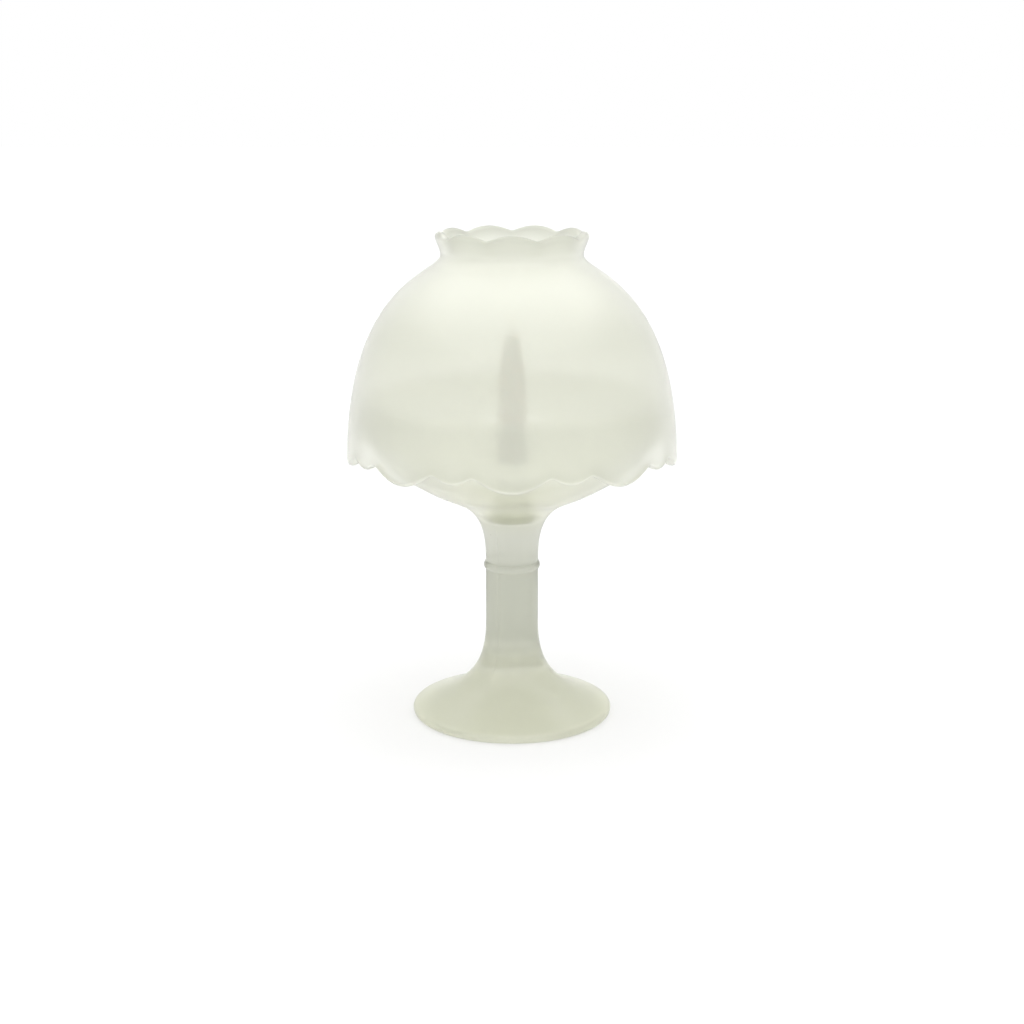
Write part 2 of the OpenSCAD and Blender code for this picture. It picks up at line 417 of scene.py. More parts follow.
class ShapeTrees:
    """Geometry trees that the lamp's pieces are made with."""

    def __init__(self) -> None:
        """Build every tree once."""
        self.turning = self._turning()
        self.lobe = self._lobe()
        self.turned_piece = self._turned_piece()
        self.scalloped_shade = self._scalloped_shade()
        self.braid = self._braid()

    @staticmethod
    def _turning() -> bpy.types.NodeTree:
        """Build the group that sweeps a drawn section round the lamp's axis.

        Returns:
            The group, which puts out a mesh.
        """
        maker = start_tree(
            "Section turned round the axis",
            TreeKind.GEOMETRY,
            {SocketKind.GEOMETRY: ("Section",), SocketKind.INT: ("Segments",)},
            {SocketKind.GEOMETRY: ("Mesh",)},
        )
        given = maker.inputs()
        section = maker.made("GeometryNodeMeshToCurve", {"Mesh": given["Section"]})
        ring = maker.made(
            "GeometryNodeCurvePrimitiveCircle",
            {"Resolution": given["Segments"], "Radius": AXIS_RING * MM},
        )
        swept = maker.made("GeometryNodeCurveToMesh", {"Curve": ring, "Profile Curve": section})
        joined = maker.made(
            "GeometryNodeMergeByDistance", {"Geometry": swept, "Distance": JOIN_DISTANCE * MM}
        )
        return maker.put_out({"Mesh": joined})

    @staticmethod
    def _lobe() -> bpy.types.NodeTree:
        """Build the group that gives one lobe's depth along its half width.

        Returns:
            The group, whose lobe is round at both ends.
        """
        maker = start_tree(
            "Depth along a lobe",
            TreeKind.GEOMETRY,
            {SocketKind.FLOAT: ("Depth", "Along", "Rounding")},
            {SocketKind.FLOAT: ("Drop",)},
        )
        given = maker.inputs()
        rounding = given["Rounding"]
        square = maker.math("MULTIPLY", rounding, rounding)
        tall = maker.math("ADD", given["Depth"], rounding)
        sharp_square = maker.math("SUBTRACT", maker.math("MULTIPLY", tall, tall), square)
        sharp = maker.math("SQRT", sharp_square)
        bow = maker.math("SUBTRACT", 1.0, maker.math("MULTIPLY", given["Along"], given["Along"]))
        bowed = maker.math("MULTIPLY", sharp, bow)
        blunt = maker.math("SQRT", maker.math("ADD", maker.math("MULTIPLY", bowed, bowed), square))
        return maker.put_out({"Drop": maker.math("SUBTRACT", blunt, rounding)})

    def _turned_section(self, maker: TreeMaker, given: Sockets) -> tuple[Socket, Sockets, Socket]:
        """Sweep the section of a piece's tree round the axis.

        Args:
            maker: Maker of the piece's tree.
            given: Inputs of the piece's tree.

        Returns:
            The mesh, the parts of a point's position, and the point's place round the axis as a
            share of a full turn from the front.
        """
        feeds = {"Section": given["Section"], "Segments": given["Segments"]}
        mesh = maker.group(self.turning, feeds)["Mesh"]
        position = maker.node("GeometryNodeInputPosition").outputs[0]
        part = maker.fed("ShaderNodeSeparateXYZ", {"Vector": position}).outputs
        angle = maker.math("ARCTAN2", part["X"], maker.math("MULTIPLY", part["Y"], -1.0))
        return mesh, part, maker.math("DIVIDE", angle, FULL_TURN)

    @staticmethod
    def _to_nearest(maker: TreeMaker, turn: Socket, repeats: Socket) -> Socket:
        """Return the distance to the nearest repeat's middle, as a share of one repeat."""
        place = maker.math("MULTIPLY", turn, repeats)
        return maker.math("ABSOLUTE", maker.math("SUBTRACT", place, maker.math("ROUND", place)))

    def _drop(self, maker: TreeMaker, depth: Socket, along: Socket, rounding: Socket) -> Socket:
        """Return a lobe's depth at a share of its half width."""
        feeds = {"Depth": depth, "Along": along, "Rounding": rounding}
        return maker.group(self.lobe, feeds)["Drop"]

    def _turned_piece(self) -> bpy.types.NodeTree:
        """Build the tree of a turned piece with fine mould seams.

        Returns:
            The tree, which raises the seams where the section's mark allows them.
        """
        maker = start_tree(
            "Turned piece",
            TreeKind.GEOMETRY,
            {
                SocketKind.GEOMETRY: ("Section",),
                SocketKind.INT: ("Segments", "Seams"),
                SocketKind.FLOAT: ("Seam turn", "Seam height", "Seam half width"),
                SocketKind.MATERIAL: ("Material",),
            },
            PIECE_OUT,
        )
        given = maker.inputs()
        mesh, part, turn = self._turned_section(maker, given)
        from_seam = maker.math("SUBTRACT", turn, given["Seam turn"])
        share = self._to_nearest(maker, from_seam, given["Seams"])
        outward = maker.made("ShaderNodeCombineXYZ", {"X": part["X"], "Y": part["Y"]})
        radius = maker.fed("ShaderNodeVectorMath", {0: outward}, operation="LENGTH").outputs["Value"]
        angle = maker.math("DIVIDE", maker.math("MULTIPLY", share, FULL_TURN), given["Seams"])
        distance = maker.math("MULTIPLY", angle, radius)
        ridge = maker.share_of(distance, given["Seam half width"], 0.0)
        allowed = maker.made("GeometryNodeInputNamedAttribute", {"Name": Mark.SEAM.value})
        rise = maker.math("MULTIPLY", maker.math("MULTIPLY", ridge, given["Seam height"]), allowed)
        away = maker.made("ShaderNodeVectorMath", {0: outward}, operation="NORMALIZE")
        offset = maker.made("ShaderNodeVectorMath", {0: away, "Scale": rise}, operation="SCALE")
        shaped = maker.made("GeometryNodeSetPosition", {"Geometry": mesh, "Offset": offset})
        return maker.put_out_piece(shaped, given["Material"])

    def _scalloped_shade(self) -> bpy.types.NodeTree:
        """Build the tree of the shade, whose skirt and lip follow two waves of lobes.

        Returns:
            The tree. Its section is drawn at the lowest skirt and the highest lip.
        """
        maker = start_tree(
            "Scalloped shade",
            TreeKind.GEOMETRY,
            {
                SocketKind.GEOMETRY: ("Section",),
                SocketKind.INT: ("Segments", "Skirt repeats", "Lip scallops"),
                SocketKind.FLOAT: (
                    "Large share", "Large drop", "Small drop", "Notch rounding", "Skirt bottom",
                    "Skirt fade", "Lip height", "Lip rounding", "Lip fade", "Lip top",
                ),
                SocketKind.MATERIAL: ("Material",),
            },
            PIECE_OUT,
        )
        given = maker.inputs()
        mesh, part, turn = self._turned_section(maker, given)
        lift = self._skirt_lift(maker, given, turn, part["Z"])
        dip = self._lip_dip(maker, given, turn, part["Z"])
        offset = maker.made("ShaderNodeCombineXYZ", {"Z": maker.math("SUBTRACT", lift, dip)})
        shaped = maker.made("GeometryNodeSetPosition", {"Geometry": mesh, "Offset": offset})
        return maker.put_out_piece(shaped, given["Material"])

    def _skirt_lift(self, maker: TreeMaker, given: Sockets, turn: Socket, z: Socket) -> Socket:
        """Work out how far the skirt rises above its lowest line.

        Args:
            maker: Maker of the shade's tree.
            given: Inputs of the shade's tree.
            turn: Place round the axis, as a share of a full turn.
            z: Height in the drawn section.

        Returns:
            The rise, which fades out up the wall.
        """
        phase = self._to_nearest(maker, turn, given["Skirt repeats"])
        half_large = maker.math("MULTIPLY", given["Large share"], HALF_REPEAT)
        half_small = maker.math("SUBTRACT", HALF_REPEAT, half_large)
        in_large = maker.math("LESS_THAN", phase, half_large)
        along_large = maker.math("DIVIDE", phase, half_large)
        along_small = maker.math("DIVIDE", maker.math("SUBTRACT", HALF_REPEAT, phase), half_small)
        rounding = given["Notch rounding"]
        large = self._drop(maker, given["Large drop"], along_large, rounding)
        small = self._drop(maker, given["Small drop"], along_small, rounding)
        extra = maker.math("MULTIPLY", in_large, maker.math("SUBTRACT", large, small))
        drop = maker.math("ADD", small, extra)
        lift = maker.math("SUBTRACT", given["Large drop"], drop)
        weight = maker.share_of(z, given["Skirt fade"], given["Skirt bottom"])
        return maker.math("MULTIPLY", lift, weight)

    def _lip_dip(self, maker: TreeMaker, given: Sockets, turn: Socket, z: Socket) -> Socket:
        """Work out how far the lip dips below the tops of its scallops.

        Args:
            maker: Maker of the shade's tree.
            given: Inputs of the shade's tree.
            turn: Place round the axis, as a share of a full turn.
            z: Height in the drawn section.

        Returns:
            The dip, which fades out down the collar.
        """
        phase = self._to_nearest(maker, turn, given["Lip scallops"])
        along = maker.math("DIVIDE", phase, HALF_REPEAT)
        drop = self._drop(maker, given["Lip height"], along, given["Lip rounding"])
        dip = maker.math("SUBTRACT", given["Lip height"], drop)
        weight = maker.share_of(z, given["Lip fade"], given["Lip top"])
        return maker.math("MULTIPLY", dip, weight)

    @staticmethod
    def _braid() -> bpy.types.NodeTree:
        """Build the tree of a braid of strands that cross over each other up a straight line.

        Returns:
            The tree, whose strands swing from side to side and from front to back.
        """
        maker = start_tree(
            "Braid of strands",
            TreeKind.GEOMETRY,
            {
                SocketKind.INT: ("Strands", "Rings", "Strand sides"),
                SocketKind.FLOAT: (
                    "Bottom", "Length", "Pitch", "Swing", "Depth", "Strand radius",
                ),
                SocketKind.MATERIAL: ("Material",),
            },
            PIECE_OUT,
        )
        given = maker.inputs()
        top = maker.math("ADD", given["Bottom"], given["Length"])
        start = maker.made("ShaderNodeCombineXYZ", {"Z": given["Bottom"]})
        end = maker.made("ShaderNodeCombineXYZ", {"Z": top})
        line = maker.made("GeometryNodeCurvePrimitiveLine", {"Start": start, "End": end})
        fine = maker.made("GeometryNodeResampleCurve", {"Curve": line, "Count": given["Rings"]})
        copies = maker.fed(
            "GeometryNodeDuplicateElements",
            {"Geometry": fine, "Amount": given["Strands"]},
            domain="SPLINE",
        ).outputs
        position = maker.node("GeometryNodeInputPosition").outputs[0]
        height = maker.fed("ShaderNodeSeparateXYZ", {"Vector": position}).outputs["Z"]
        rise = maker.math("SUBTRACT", height, given["Bottom"])
        turn = maker.math("DIVIDE", rise, given["Pitch"])
        phase = maker.math("DIVIDE", copies["Duplicate Index"], given["Strands"])
        angle = maker.math("MULTIPLY", maker.math("ADD", turn, phase), FULL_TURN)
        double = maker.math("MULTIPLY", angle, 2.0)
        side = maker.math("MULTIPLY", maker.math("SINE", angle), given["Swing"])
        depth = maker.math("MULTIPLY", maker.math("SINE", double), given["Depth"])
        offset = maker.made("ShaderNodeCombineXYZ", {"X": side, "Y": depth})
        strands = maker.made(
            "GeometryNodeSetPosition", {"Geometry": copies["Geometry"], "Offset": offset}
        )
        ring = maker.made(
            "GeometryNodeCurvePrimitiveCircle",
            {"Resolution": given["Strand sides"], "Radius": given["Strand radius"]},
        )
        swept = maker.made(
            "GeometryNodeCurveToMesh",
            {"Curve": strands, "Profile Curve": ring, "Fill Caps": True},
        )
        return maker.put_out_piece(swept, given["Material"])


class SurfaceGroups:
    """Shader groups that the finishes use."""

    def __init__(self) -> None:
        """Build every group once."""
        self.drift = self._drift()
        self.grain = self._grain()
        self.specks = self._specks()

    @staticmethod
    def _drift() -> bpy.types.NodeTree:
        """Build the group of a slow, cloudy change over a surface.

        Returns:
            The group, which puts out a mask.
        """
        maker = start_tree(
            "Slow drift",
            TreeKind.SHADER,
            {SocketKind.VECTOR: ("Vector",), SocketKind.FLOAT: ("Scale", "Contrast")},
            {SocketKind.FLOAT: ("Mask",)},
        )
        given = maker.inputs()
        noise = maker.made(
            "ShaderNodeTexNoise",
            {"Vector": given["Vector"], "Scale": given["Scale"], "Detail": DRIFT_DETAIL},
        )
        centred = maker.math("SUBTRACT", noise, NOISE_MIDDLE)
        spread = maker.math("MULTIPLY_ADD", centred, given["Contrast"], NOISE_MIDDLE)
        return maker.put_out({"Mask": maker.share_of(spread, 0.0, 1.0)})

    @staticmethod
    def _grain() -> bpy.types.NodeTree:
        """Build the group of a fine grain over a broad ripple.

        Returns:
            The group, which puts out the height of both and the grain alone.
        """
        maker = start_tree(
            "Fine grain on a ripple",
            TreeKind.SHADER,
            {
                SocketKind.VECTOR: ("Vector",),
                SocketKind.FLOAT: ("Grain scale", "Ripple scale", "Grain share"),
            },
            {SocketKind.FLOAT: ("Height", "Grain")},
        )
        given = maker.inputs()
        fine, broad = (
            maker.made(
                "ShaderNodeTexNoise",
                {"Vector": given["Vector"], "Scale": given[scale], "Detail": detail},
            )
            for scale, detail in (("Grain scale", GRAIN_DETAIL), ("Ripple scale", RIPPLE_DETAIL))
        )
        above = maker.math("SUBTRACT", fine, broad)
        height = maker.math("MULTIPLY_ADD", above, given["Grain share"], broad)
        return maker.put_out({"Height": height, "Grain": fine})

    @staticmethod
    def _specks() -> bpy.types.NodeTree:
        """Build the group of a few small specks, scattered by cells.

        Returns:
            The group, which puts out a mask.
        """
        maker = start_tree(
            "Scattered specks",
            TreeKind.SHADER,
            {SocketKind.VECTOR: ("Vector",), SocketKind.FLOAT: ("Scale", "Radius", "Share")},
            {SocketKind.FLOAT: ("Mask",)},
        )
        given = maker.inputs()
        feeds = {"Vector": given["Vector"], "Scale": given["Scale"]}
        cells = maker.fed("ShaderNodeTexVoronoi", feeds).outputs
        pick = maker.made("ShaderNodeSeparateColor", {"Color": cells["Color"]})
        chosen = maker.math("LESS_THAN", pick, given["Share"])
        core = maker.math("MULTIPLY", given["Radius"], SPECK_CORE)
        spot = maker.share_of(cells["Distance"], given["Radius"], core)
        return maker.put_out({"Mask": maker.math("MULTIPLY", chosen, spot)})


class Surface(TreeMaker):
    """Material in the making, with its shader and the piece's own coordinates."""

    def __init__(self, name: str) -> None:
        """Start a material.

        Args:
            name: Name of the material.
        """
        self.material = bpy.data.materials.new(name)
        self.material.use_nodes = True
        super().__init__(self.material.node_tree)
        self.shader = self.tree.nodes["Principled BSDF"]
        self.place = self.node("ShaderNodeTexCoord").outputs["Object"]

    def dress(self, feeds: Feeds) -> None:
        """Feed the shader's inputs."""
        self.feed(self.shader, feeds)

    def mark(self, mark: Mark) -> Socket:
        """Return the value that a drawn section handed on."""
        return self.node("ShaderNodeAttribute", attribute_name=mark.value).outputs["Fac"]

    def drift(self, groups: SurfaceGroups, scale: float, contrast: float) -> Socket:
        """Return the mask of a slow drift over the surface."""
        feeds = {"Vector": self.place, "Scale": scale, "Contrast": contrast}
        return self.group(groups.drift, feeds)["Mask"]

    def blend(self, mask: Socket, a: object, b: object, how: Blend = Blend.COVER) -> Socket:
        """Mix two colours by a mask.

        Args:
            mask: Socket of the mask.
            a: Colour, or its socket, where the mask is 0.
            b: Colour, or its socket, where the mask is 1.
            how: Way that the second colour goes over the first.

        Returns:
            The socket of the mixed colour.
        """
        feeds = {MIX_FACTOR: mask, MIX_FIRST: a, MIX_SECOND: b}
        mix = self.fed("ShaderNodeMix", feeds, data_type="RGBA", blend_type=how.value)
        return mix.outputs[MIX_RESULT]

    def about(self, mask: Socket, middle: float, spread: float) -> Socket:
        """Return a value that strays from a middle by up to a spread, with a mask."""
        return self.ramp(mask, middle - spread, middle + spread)


@dataclass(frozen=True)
class Finish:
    """What the lamp's finishes share: a name and a grain with its relief."""

    name: str
    grain_scale: float
    ripple_scale: float
    grain_share: float
    relief: float

    def start(self, groups: SurfaceGroups) -> tuple[Surface, Sockets]:
        """Start the finish's material with its grain and relief.

        Args:
            groups: Shader groups that finishes share.

        Returns:
            The material in the making and the outputs of its grain.
        """
        surface = Surface(self.name)
        feeds = {
            "Vector": surface.place,
            "Grain scale": self.grain_scale,
            "Ripple scale": self.ripple_scale,
            "Grain share": self.grain_share,
        }
        grain = surface.group(groups.grain, feeds)
        raised = {"Height": grain["Height"], "Distance": self.relief * MM}
        surface.dress({"Normal": surface.made("ShaderNodeBump", raised)})
        return surface, grain


@dataclass(frozen=True)
class Glass(Finish):
    """Pressed glass, clear or with an etched satin skin."""

    tint: Rgba
    deep_tint: Rgba
    # Darker tint for thick glass, and for painted shade and painted shadow
    thick_and_shade_tint: Rgba
    warm_tint: Rgba
    roughness: float
    roughness_spread: float
    transmission: float
    absorption: Rgba
    density: float
    gloss: float
    gloss_roughness: float
    speck_share: float
    # Lower than in real glass, with which a single wall showed doubled lines
    ior: float = 1.12
    drift_scale: float = 28.0
    drift_contrast: float = 1.6
    speck_scale: float = 150.0
    speck_radius: float = 0.035
    speck_colour: Rgba = (0.30, 0.29, 0.24, 1.0)

    def material(self, groups: SurfaceGroups) -> bpy.types.Material:
        """Build the material.

        Args:
            groups: Shader groups that finishes share.

        Returns:
            The material.
        """
        surface, grain = self.start(groups)
        feeds = {
            "Vector": surface.place,
            "Scale": self.speck_scale,
            "Radius": self.speck_radius,
            "Share": self.speck_share,
        }
        specks = surface.group(groups.specks, feeds)["Mask"]
        drift = surface.drift(groups, self.drift_scale, self.drift_contrast)
        thin = surface.blend(drift, self.tint, self.deep_tint)
        # Darker tint by the mark: thick glass, painted shade and painted shadow, and painted
        # highlight where the share drops
        body = surface.blend(surface.mark(Mark.SOLID), thin, self.thick_and_shade_tint)
        warmed = surface.blend(surface.mark(Mark.WARM), body, self.warm_tint, Blend.TINT)
        surface.dress({
            "Base Color": surface.blend(specks, warmed, self.speck_colour),
            "Roughness": surface.about(grain["Grain"], self.roughness, self.roughness_spread),
            "IOR": self.ior,
            "Transmission Weight": self.transmission,
            "Coat Weight": self.gloss,
            "Coat Roughness": self.gloss_roughness,
        })
        depth = {"Color": self.absorption, "Density": self.density}
        volume = surface.made("ShaderNodeVolumeAbsorption", depth)
        surface.feed(surface.tree.nodes["Material Output"], {"Volume": volume})
        return surface.material


@dataclass(frozen=True)
class CandleWax(Finish):
    """Candle wax that light sinks into."""

    colour: Rgba
    bloom: Rgba
    roughness: float
    roughness_spread: float
    glow: float
    glow_depth: float
    drift_scale: float
    drift_contrast: float

    def material(self, groups: SurfaceGroups) -> bpy.types.Material:
        """Build the material.

        Args:
            groups: Shader groups that finishes share.

        Returns:
            The material.
        """
        surface, grain = self.start(groups)
        drift = surface.drift(groups, self.drift_scale, self.drift_contrast)
        surface.dress({
            "Base Color": surface.blend(drift, self.colour, self.bloom),
            "Roughness": surface.about(grain["Grain"], self.roughness, self.roughness_spread),
            "Subsurface Weight": self.glow,
            "Subsurface Scale": self.glow_depth * MM,
        })
        return surface.material


@dataclass(frozen=True)
class CottonYarn(Finish):
    """Soft cotton yarn of a braided wick."""

    colour: Rgba
    shadow: Rgba
    roughness: float
    sheen: float

    def material(self, groups: SurfaceGroups) -> bpy.types.Material:
        """Build the material.

        Args:
            groups: Shader groups that finishes share.

        Returns:
            The material.
        """
        surface, grain = self.start(groups)
        surface.dress({
            "Base Color": surface.blend(grain["Height"], self.shadow, self.colour),
            "Roughness": self.roughness,
            "Sheen Weight": self.sheen,
        })
        return surface.material


SATIN_GLASS = Glass(
    name="satin glass",
    grain_scale=2600.0,
    ripple_scale=90.0,
    grain_share=0.5,
    relief=0.006,
    tint=(0.985, 0.99, 0.935, 1.0),
    deep_tint=(0.975, 0.98, 0.925, 1.0),
    # Darker tint for thick glass and for painted shade
    thick_and_shade_tint=(0.60, 0.615, 0.525, 1.0),
    warm_tint=(1.0, 1.0, 0.94, 1.0),
    roughness=0.31,
    roughness_spread=0.03,
    transmission=0.72,
    absorption=(0.50, 0.50, 0.42, 1.0),
    density=8.0,
    gloss=0.4,
    gloss_roughness=0.25,
    speck_share=0.02,
)
CUP_GLASS = Glass(
    name="fire-polished glass",
    grain_scale=1400.0,
    ripple_scale=120.0,
    grain_share=0.2,
    relief=0.01,
    tint=(0.99, 0.995, 0.985, 1.0),
    deep_tint=(0.98, 0.985, 0.97, 1.0),
    # Colour of the painted shadow on the cup's foot
    thick_and_shade_tint=(0.50, 0.52, 0.42, 1.0),
    warm_tint=WHITE,
    roughness=0.08,
    roughness_spread=0.02,
    transmission=1.0,
    absorption=(0.70, 0.75, 0.60, 1.0),
    density=4.0,
    gloss=0.5,
    gloss_roughness=0.1,
    speck_share=0.0,
)
IVORY_WAX = CandleWax(
    name="ivory candle wax",
    grain_scale=1500.0,
    ripple_scale=240.0,
    grain_share=0.3,
    relief=0.03,
    colour=(0.53, 0.51, 0.455, 1.0),
    bloom=(0.57, 0.55, 0.495, 1.0),
    roughness=0.42,
    roughness_spread=0.06,
    glow=0.2,
    glow_depth=1.6,
    drift_scale=160.0,
    drift_contrast=2.0,
)
WICK_COTTON = CottonYarn(
    name="braided cotton",
    grain_scale=5200.0,
    ripple_scale=900.0,
    grain_share=0.7,
    relief=0.05,
    colour=(0.93, 0.91, 0.86, 1.0),
    shadow=(0.80, 0.77, 0.70, 1.0),
    roughness=0.9,
    sheen=0.3,
)


@dataclass(frozen=True)
class Envelope:
    """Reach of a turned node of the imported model."""

    radius: float
    bottom: float
    top: float

    @classmethod
    def of_node(cls, node: str) -> "Envelope":
        """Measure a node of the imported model."""
        low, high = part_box(node)
        return cls((high.x - low.x) / 2 / MM, low.z / MM, high.z / MM)


def add_object(name: str, data: bpy.types.ID) -> bpy.types.Object:
    """Make an object and link it to the scene.

    Args:
        name: Name of the object.
        data: Its mesh, camera or light.

    Returns:
        The object.
    """
    thing = bpy.data.objects.new(name, data)
    bpy.context.scene.collection.objects.link(thing)
    return thing


def draw_section(
    name: str, path: Path, closed: bool, marks: dict[Mark, list[float]]
) -> bpy.types.Object:
    """Draw a section as a line of edges for a tree to turn.

    Args:
        name: Name of the piece.
        path: Points of the section, each a radius and a height, with the inside on the left.
        closed: Whether the last point joins the first.
        marks: Values from 0 to 1 for each point, by mark.

    Returns:
        The object that holds the section.
    """
    points = [((r - AXIS_RING) * MM, -z * MM, 0.0) for r, z in reversed(path)]
    edges = [(i, i + 1) for i in range(len(points) - 1)]
    if closed:
        edges.append((len(points) - 1, 0))
    mesh = bpy.data.meshes.new(name)
    mesh.from_pydata(points, edges, [])
    for mark, values in marks.items():
        layer = mesh.attributes.new(mark.value, "FLOAT", "POINT")
        layer.data.foreach_set("value", values[::-1])
    return add_object(name, mesh)


def grow_piece(
    start: bpy.types.Object, tree: bpy.types.NodeTree, values: dict[str, object]
) -> bpy.types.Object:
    """Run a geometry tree on an object and keep the result as a plain mesh.

    Args:
        start: Object that the tree starts from, which is used up.
        tree: The geometry tree.
        values: Values for the tree's inputs, by name.

    Returns:
        The finished piece, at the origin.
    """
    modifier = start.modifiers.new(tree.name, "NODES")
    modifier.node_group = tree
    for item in tree.interface.items_tree:
        if item.name in values:
            modifier[item.identifier] = values[item.name]
    name = start.name
    evaluated = start.evaluated_get(bpy.context.evaluated_depsgraph_get())
    mesh = bpy.data.meshes.new_from_object(evaluated)
    start.modifiers.remove(modifier)
    drawn = start.data
    bpy.data.objects.remove(start)
    bpy.data.meshes.remove(drawn)
    mesh.name = name
    shell = bmesh.new()
    shell.from_mesh(mesh)
    bmesh.ops.recalc_face_normals(shell, faces=shell.faces)
    shell.to_mesh(mesh)
    shell.free()
    return add_object(name, mesh)


def settle(piece: bpy.types.Object, body: Body, node: str) -> None:
    """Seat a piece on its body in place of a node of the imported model.

    Args:
        piece: The finished piece.
        body: Body that it rides on.
        node: Node that it stands for.
    """
    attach(piece, body.value)
    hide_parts(node)
    log.info("%s: %d faces on %s", piece.name, len(piece.data.polygons), body.value)


@dataclass
class Goblet:
    """Pressed goblet: a dished foot, a beaded stem and an open bowl."""

    glass: bpy.types.Material
    reach: Envelope
    segments: int = 360
    long_steps: int = 36
    short_steps: int = 10
    # Foot
    foot_r: float = 32.2
    foot_edge_h: float = 3.0
    foot_ring_w: float = 5.0
    foot_dish_h: float = 1.6
    foot_climb: float = 20.0
    foot_fullness: float = 0.59
    foot_h: float = 30.0
    foot_turn: float = 0.67
    # Stem and bead
    stem_r: float = 8.4
    bead_h: float = 2.4
    bead_proud: float = 0.6
    bead_drop: float = 2.5
    groove_h: float = 0.5
    groove_depth: float = 0.12
    groove_middle: float = 1 / 3
    # Bowl
    bowl_h: float = 52.0
    turn_r: float = 28.0
    turn_h: float = 23.3
    turn_slope: float = 30.0
    under_fullness: float = 0.62
    under_turn: float = 0.79
    side_fullness: float = 0.74
    side_upright: float = 0.42
    wall: float = 3.0
    floor_h: float = 12.4
    floor_round: float = 1.6
    # Mould seams
    seams: int = 2
    seam_angle: float = -31.0
    seam_height: float = 0.2
    seam_half_w: float = 0.42
    seam_fade_r: float = 13.0
    # Darker tint by height: thick glass in the foot, stem and floor, fading to clear towards the
    # rim, with painted shade in dark lines at the bead's grooves and a painted lighter band where
    # the foot curves up into the stem; and how warm the glass looks, by height
    thick_and_shade_stops: Stops = (
        (6.0, 0.58), (14.0, 0.60), (15.5, 0.63), (17.0, 0.63), (18.3, 0.42), (19.0, 0.37),
        (20.0, 0.43), (21.8, 0.83), (23.4, 0.99), (26.0, 0.98), (30.0, 0.94), (40.0, 0.81),
        (47.6, 0.78), (48.0, 1.0), (48.5, 0.74), (50.5, 0.74), (51.0, 1.0), (51.4, 0.72),
        (56.0, 0.63), (64.4, 0.57), (65.2, 0.20), (67.0, 0.12), (72.0, 0.12), (84.0, 0.09),
        (94.0, 0.03), (104.0, 0.0),
    )
    # Painted highlight: paler glass round the foot's lower edge, over this width
    edge_w: float = 1.6
    edge_highlight_stops: Stops = ((0.8, 0.05), (2.0, 0.30), (3.2, 0.57))
    warm_stops: Stops = (
        (14.0, 1.0), (24.0, 0.0), (60.0, 0.0), (66.0, 0.8), (78.0, 0.8), (86.0, 0.0),
    )

    def build(self, trees: ShapeTrees) -> None:
        """Build the goblet and seat it.

        Args:
            trees: Geometry trees.
        """
        under, outside, inside = self.section()
        path = under + outside + inside
        fade = ((self.stem_r, 1.0), (self.seam_fade_r, 0.0))
        seam = [value_at(fade, r) for r, z in outside]
        marks = {
            Mark.SEAM: [0.0] * len(under) + seam + [0.0] * len(inside),
            # Thick glass with painted shade, and a painted highlight at the foot's edge
            Mark.SOLID: [self.thick_and_shade_share(r, z) for r, z in path],
            Mark.WARM: [value_at(self.warm_stops, z) for r, z in path],
        }
        piece = grow_piece(
            draw_section("satin_goblet", path, False, marks),
            trees.turned_piece,
            {
                "Segments": self.segments,
                "Seams": self.seams,
                "Seam turn": self.seam_angle / DEGREES_ROUND,
                "Seam height": self.seam_height * MM,
                "Seam half width": self.seam_half_w * MM,
                "Material": self.glass,
            },
        )
        settle(piece, Body.GOBLET, "goblet")

    def thick_and_shade_share(self, r: float, z: float) -> float:
        """Return the share of the darker tint at a point, for thick glass and painted shade, with a
        painted highlight round the foot's edge.
        """
        in_edge = z < self.foot_edge_h and r > self.foot_r - self.edge_w
        return value_at(self.edge_highlight_stops if in_edge else self.thick_and_shade_stops, z)

    def section(self) -> tuple[Path, Path, Path]:
        """Draw the section, from the middle of the dish to the middle of the bowl's floor.

        Returns:
            The underside with the foot's edge, the outside up to the rim, and the inside.
        """
        edge_r = self.foot_edge_h / 2
        edge_centre = (self.foot_r - edge_r, self.reach.bottom + edge_r)
        edge = arc(edge_centre, edge_r, -90, 90 - self.foot_climb, self.short_steps)
        bowl = self.bowl_outside()
        rim_centre = (self.reach.radius - self.wall / 2, self.reach.top - self.wall / 2)
        rim = arc(rim_centre, self.wall / 2, 0, 180, self.short_steps)
        outside = self.foot_top(edge[-1])[1:] + self.bead() + bowl
        return self.dish() + edge, outside, rim[1:-1] + self.bowl_inside(bowl)

    def bowl_z(self) -> float:
        """Return the height where the stem ends and the bowl starts."""
        return self.reach.top - self.bowl_h

    def dish(self) -> Path:
        """Draw the shallow dish under the foot.

        Returns:
            The points from the axis out to the ground ring.
        """
        dish_r = self.foot_r - self.foot_edge_h / 2 - self.foot_ring_w
        path = []
        for i in range(self.short_steps + 1):
            share = i / self.short_steps
            rise = self.foot_dish_h * (1 - share * share)
            path.append((dish_r * share, self.reach.bottom + rise))
        return path

    def foot_top(self, edge_top: Point) -> Path:
        """Draw the foot's top.

        Args:
            edge_top: Point where the foot's round edge ends.

        Returns:
            The points from there up into the stem.
        """
        climb = math.radians(180 - self.foot_climb)
        pull = self.foot_fullness * (self.foot_r - self.stem_r)
        leave = (edge_top[0] + pull * math.cos(climb), edge_top[1] + pull * math.sin(climb))
        turn_z = self.foot_h - self.foot_turn * (self.foot_h - self.foot_edge_h)
        return curve(
            edge_top, leave, (self.stem_r, turn_z), (self.stem_r, self.foot_h), self.long_steps
        )

